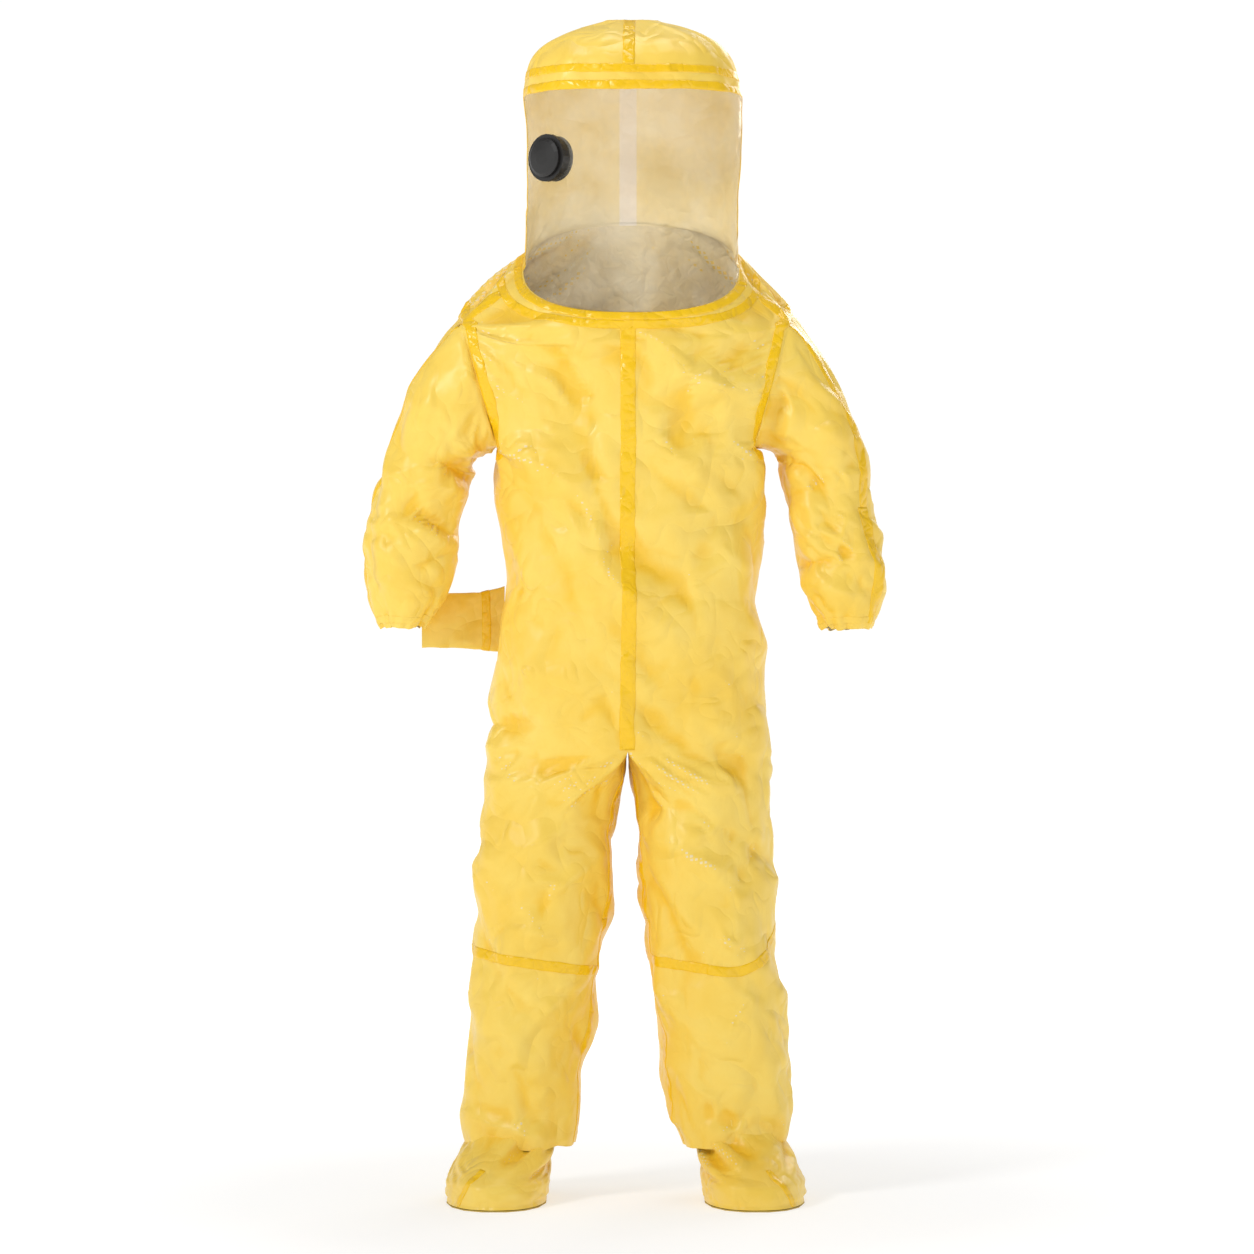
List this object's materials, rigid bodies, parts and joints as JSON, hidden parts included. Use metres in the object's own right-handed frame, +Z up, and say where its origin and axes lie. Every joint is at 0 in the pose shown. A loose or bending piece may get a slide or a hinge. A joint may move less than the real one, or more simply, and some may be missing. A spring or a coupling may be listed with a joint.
{
  "type": "chemical protective suit",
  "caption": "Encapsulating yellow protective suit with hood, wide flexible visor, exhaust valve, rear zipper, elastic cuffs, air-line sleeve and attached socks.",
  "frame": {"origin": "on the ground, midway between the cuffs and midway between the toe tips and the storm flap", "axes": "+Z up, the front faces -Y, +X is the wearer's left"},
  "size_m": [0.849, 0.348, 1.888],
  "materials": {
    "fabric": "coated paper-like laminate, slightly glossy, creased",
    "seam_tape": "heat-sealed glossy tape",
    "visor": "clear flexible sheet, slightly wavy",
    "valve_plastic": "moulded, satin",
    "rubber": "soft, matt",
    "webbing": "woven tape",
    "zipper": "moulded",
    "elastic": "gathered fabric over elastic",
    "sole": "coated fabric, slightly scuffed"
  },
  "bodies": {
    "suit": {"hood_crown_right": "fabric", "hood_crown_left": "fabric", "hood_brow_band": "fabric", "hood_back_right": "fabric", "hood_back_left": "fabric", "visor": "visor", "crown_centre_tape": "seam_tape", "crown_edge_tape": "seam_tape", "visor_top_tape": "seam_tape", "visor_side_tape_right": "seam_tape", "visor_side_tape_left": "seam_tape", "collar_tape": "seam_tape", "torso_front_right": "fabric", "torso_front_left": "fabric", "torso_back_right": "fabric", "torso_back_left": "fabric", "centre_front_tape": "seam_tape", "armhole_tape_right": "seam_tape", "armhole_tape_left": "seam_tape", "zipper_tape_right": "webbing", "zipper_tape_left": "webbing", "zipper_teeth": "zipper", "zipper_top_stop": "zipper", "zipper_bottom_stop": "zipper", "flap_seam_tape": "seam_tape", "flap_loop_strip": "webbing", "valve_body": "valve_plastic", "valve_gasket": "rubber", "valve_retaining_ring": "valve_plastic", "valve_cover": "valve_plastic", "pass_through_collar": "seam_tape"},
    "right_upper_arm": {"upper_sleeve_right": "fabric", "upper_overarm_tape_right": "seam_tape"},
    "right_forearm": {"lower_sleeve_right": "fabric", "lower_overarm_tape_right": "seam_tape", "cuff_elastic_right": "elastic"},
    "right_thigh": {"upper_leg_right": "fabric"},
    "right_shank": {"lower_leg_right": "fabric", "knee_tape_right": "seam_tape", "sock_right": "fabric", "sock_sole_right": "sole", "ankle_join_right": "fabric"},
    "left_upper_arm": {"upper_sleeve_left": "fabric", "upper_overarm_tape_left": "seam_tape"},
    "left_forearm": {"lower_sleeve_left": "fabric", "lower_overarm_tape_left": "seam_tape", "cuff_elastic_left": "elastic"},
    "left_thigh": {"upper_leg_left": "fabric"},
    "left_shank": {"lower_leg_left": "fabric", "knee_tape_left": "seam_tape", "sock_left": "fabric", "sock_sole_left": "sole", "ankle_join_left": "fabric"},
    "slider": {"zipper_slider": "zipper"},
    "pull_tab": {"zipper_pull_tab": "zipper"},
    "flap": {"storm_flap": "fabric", "flap_hook_strip": "webbing"},
    "diaphragm": {"valve_diaphragm": "rubber"},
    "pass_through": {"pass_through_sleeve": "fabric"}
  },
  "joints": [
    {"name": "right_shoulder", "type": "hinge", "parent": "suit", "child": "right_upper_arm", "pos_m": [-0.2692, 0.03, 1.421], "axis": [0, 1, 0], "range_deg": [0, 70]},
    {"name": "right_elbow", "type": "hinge", "parent": "right_upper_arm", "child": "right_forearm", "pos_m": [-0.33, -0.048, 1.11], "axis": [-1, 0, 0], "range_deg": [0, 75]},
    {"name": "right_hip", "type": "hinge", "parent": "suit", "child": "right_thigh", "pos_m": [-0.121, -0.084, 0.728], "axis": [-1, 0, 0], "range_deg": [0, 35]},
    {"name": "right_knee", "type": "hinge", "parent": "right_thigh", "child": "right_shank", "pos_m": [-0.135, 0.139, 0.455], "axis": [1, 0, 0], "range_deg": [0, 60]},
    {"name": "left_shoulder", "type": "hinge", "parent": "suit", "child": "left_upper_arm", "pos_m": [0.2692, 0.03, 1.421], "axis": [0, -1, 0], "range_deg": [0, 70]},
    {"name": "left_elbow", "type": "hinge", "parent": "left_upper_arm", "child": "left_forearm", "pos_m": [0.33, -0.048, 1.11], "axis": [-1, 0, 0], "range_deg": [0, 75]},
    {"name": "left_hip", "type": "hinge", "parent": "suit", "child": "left_thigh", "pos_m": [0.121, -0.084, 0.728], "axis": [-1, 0, 0], "range_deg": [0, 35]},
    {"name": "left_knee", "type": "hinge", "parent": "left_thigh", "child": "left_shank", "pos_m": [0.135, 0.139, 0.455], "axis": [1, 0, 0], "range_deg": [0, 60]},
    {"name": "zipper_slide", "type": "slide", "parent": "suit", "child": "slider", "axis": [0, 0, 1], "range_m": [-0.835, 0]},
    {"name": "tab_swing", "type": "hinge", "parent": "slider", "child": "pull_tab", "pos_m": [0.004, 0.1703, 1.7578], "axis": [1, 0, 0], "range_deg": [0, 150]},
    {"name": "flap_swing", "type": "hinge", "parent": "suit", "child": "flap", "pos_m": [0.0383, 0.1742, 1.3], "axis": [0, 0, -1], "range_deg": [0, 160]},
    {"name": "diaphragm_lift", "type": "slide", "parent": "suit", "child": "diaphragm", "axis": [-0.6594, -0.7518, 0], "range_m": [0, 0.0015], "stiffness_N_per_m": 40, "springref_m": -0.001},
    {"name": "pass_through_swing", "type": "hinge", "parent": "suit", "child": "pass_through", "pos_m": [-0.2223, 0.0963, 0.9265], "axis": [0, 0, -1], "range_deg": [0, 80]}
  ]
}
